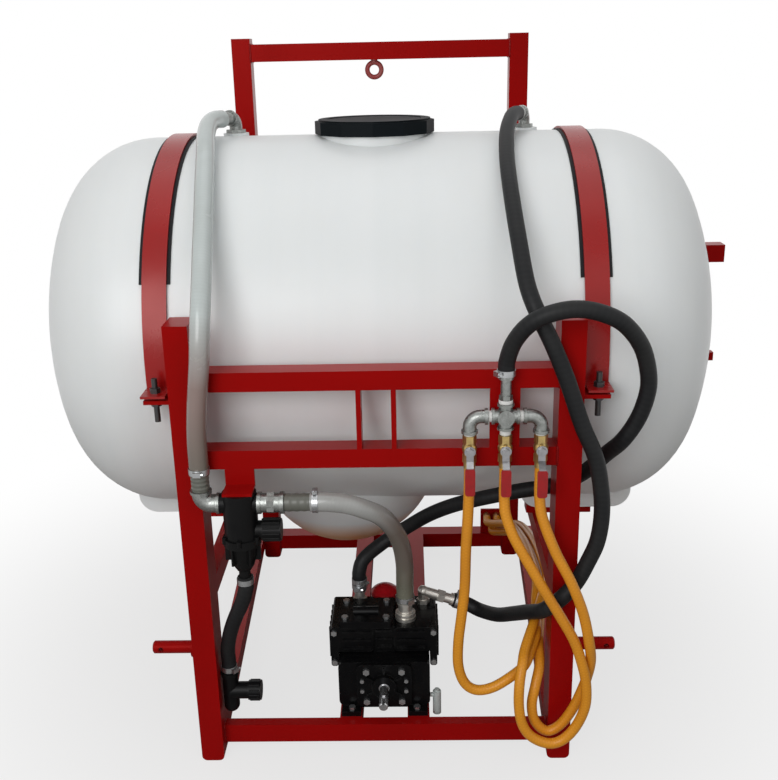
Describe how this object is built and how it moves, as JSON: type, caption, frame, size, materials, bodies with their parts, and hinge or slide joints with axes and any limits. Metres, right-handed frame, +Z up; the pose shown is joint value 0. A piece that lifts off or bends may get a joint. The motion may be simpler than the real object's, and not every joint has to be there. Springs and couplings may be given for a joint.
{
  "type": "mounted field sprayer",
  "caption": "Tractor-mounted field sprayer: red tube frame with linkage pins, white saddle tank under straps, suction filter, diaphragm pump, hoses and section valves with levers.",
  "frame": {"origin": "on the ground, under the middle of the frame", "axes": "+X to the right seen from the linkage side, +Y away from the linkage side, +Z up"},
  "size_m": [1.948, 1.1545, 1.55],
  "materials": {
    "frame_red": "gloss",
    "tank_white": "satin",
    "black_plastic": "satin",
    "black_rubber": "matte",
    "galvanised": "satin",
    "zinc": "satin",
    "pump_black": "gloss",
    "pump_red": "gloss",
    "dark_steel": "satin",
    "steel_shaft": "satin",
    "dark_tail": "satin",
    "clear_hose": "gloss",
    "black_hose": "matte",
    "yellow_hose": "satin",
    "brass": "satin",
    "lever_red": "satin",
    "oil_cup": "gloss"
  },
  "bodies": {
    "frame": {"front_post_left": "frame_red", "front_post_right": "frame_red", "rear_post_left": "frame_red", "rear_post_right": "frame_red", "front_upper_bar": "frame_red", "front_lower_bar": "frame_red", "front_bottom_bar": "frame_red", "rear_bottom_bar": "frame_red", "arch_bar": "frame_red", "floor_rails": "frame_red", "tank_cradles": "frame_red", "rear_rails": "frame_red", "top_link_plates": "frame_red", "frame_brackets": "frame_red", "post_ends": "frame_red", "tank_straps": "frame_red", "hitch_pins": "frame_red", "lifting_eye": "frame_red", "pump_bolts": "zinc", "hose_clamps": "zinc", "strap_bolts": "dark_steel", "tank": "tank_white", "filter_head": "black_plastic", "filter_bowl": "black_plastic", "drain_elbow": "black_plastic", "strap_pads": "black_rubber", "pump_diaphragms": "black_rubber", "tank_fittings": "galvanised", "suction_elbow": "galvanised", "filter_outlet": "galvanised", "pump_fittings": "galvanised", "manifold_cross": "galvanised", "manifold_fittings": "galvanised", "filter_screen": "steel_shaft", "hose_tails": "dark_tail", "suction_hose_upper": "clear_hose", "suction_hose_lower": "clear_hose", "drain_hose": "black_hose", "return_hose": "black_hose", "pressure_hose": "black_hose", "pump_crankcase": "pump_black", "pump_front_cover": "pump_black", "pump_heads": "pump_black", "pump_top_block": "pump_black", "pump_air_chamber": "pump_red", "pump_oil_cup": "oil_cup", "valve_bodies": "brass", "brass_tails": "brass", "spray_hose_left": "yellow_hose", "spray_hose_middle": "yellow_hose", "spray_hose_right": "yellow_hose"},
    "lid": {"lid": "black_plastic", "lid_seal": "black_rubber"},
    "lever_left": {"lever_left": "lever_red"},
    "lever_middle": {"lever_middle": "lever_red"},
    "lever_right": {"lever_right": "lever_red"},
    "pump_shaft": {"pump_shaft": "steel_shaft"},
    "filter_cap": {"filter_cap": "black_plastic"},
    "drain_cap": {"drain_cap": "black_plastic"}
  },
  "joints": [
    {"name": "lid_lift", "type": "slide", "parent": "frame", "child": "lid", "axis": [0, 0, 1], "range_m": [0, 0.15]},
    {"name": "lever_left_turn", "type": "hinge", "parent": "frame", "child": "lever_left", "pos_m": [0.1845, -0.549, 0.761], "axis": [0, 1, 0], "range_deg": [0, 90]},
    {"name": "lever_middle_turn", "type": "hinge", "parent": "frame", "child": "lever_middle", "pos_m": [0.255, -0.549, 0.761], "axis": [0, 1, 0], "range_deg": [0, 90]},
    {"name": "lever_right_turn", "type": "hinge", "parent": "frame", "child": "lever_right", "pos_m": [0.3255, -0.549, 0.761], "axis": [0, 1, 0], "range_deg": [0, 90]},
    {"name": "pump_spin", "type": "hinge", "parent": "frame", "child": "pump_shaft", "pos_m": [0, -0.5, 0.149], "axis": [0, 1, 0], "continuous": true},
    {"name": "filter_cap_pull", "type": "slide", "parent": "frame", "child": "filter_cap", "axis": [1, 0, 0], "range_m": [0, 0.06]},
    {"name": "drain_cap_pull", "type": "slide", "parent": "frame", "child": "drain_cap", "axis": [1, 0, 0], "range_m": [0, 0.06]}
  ]
}
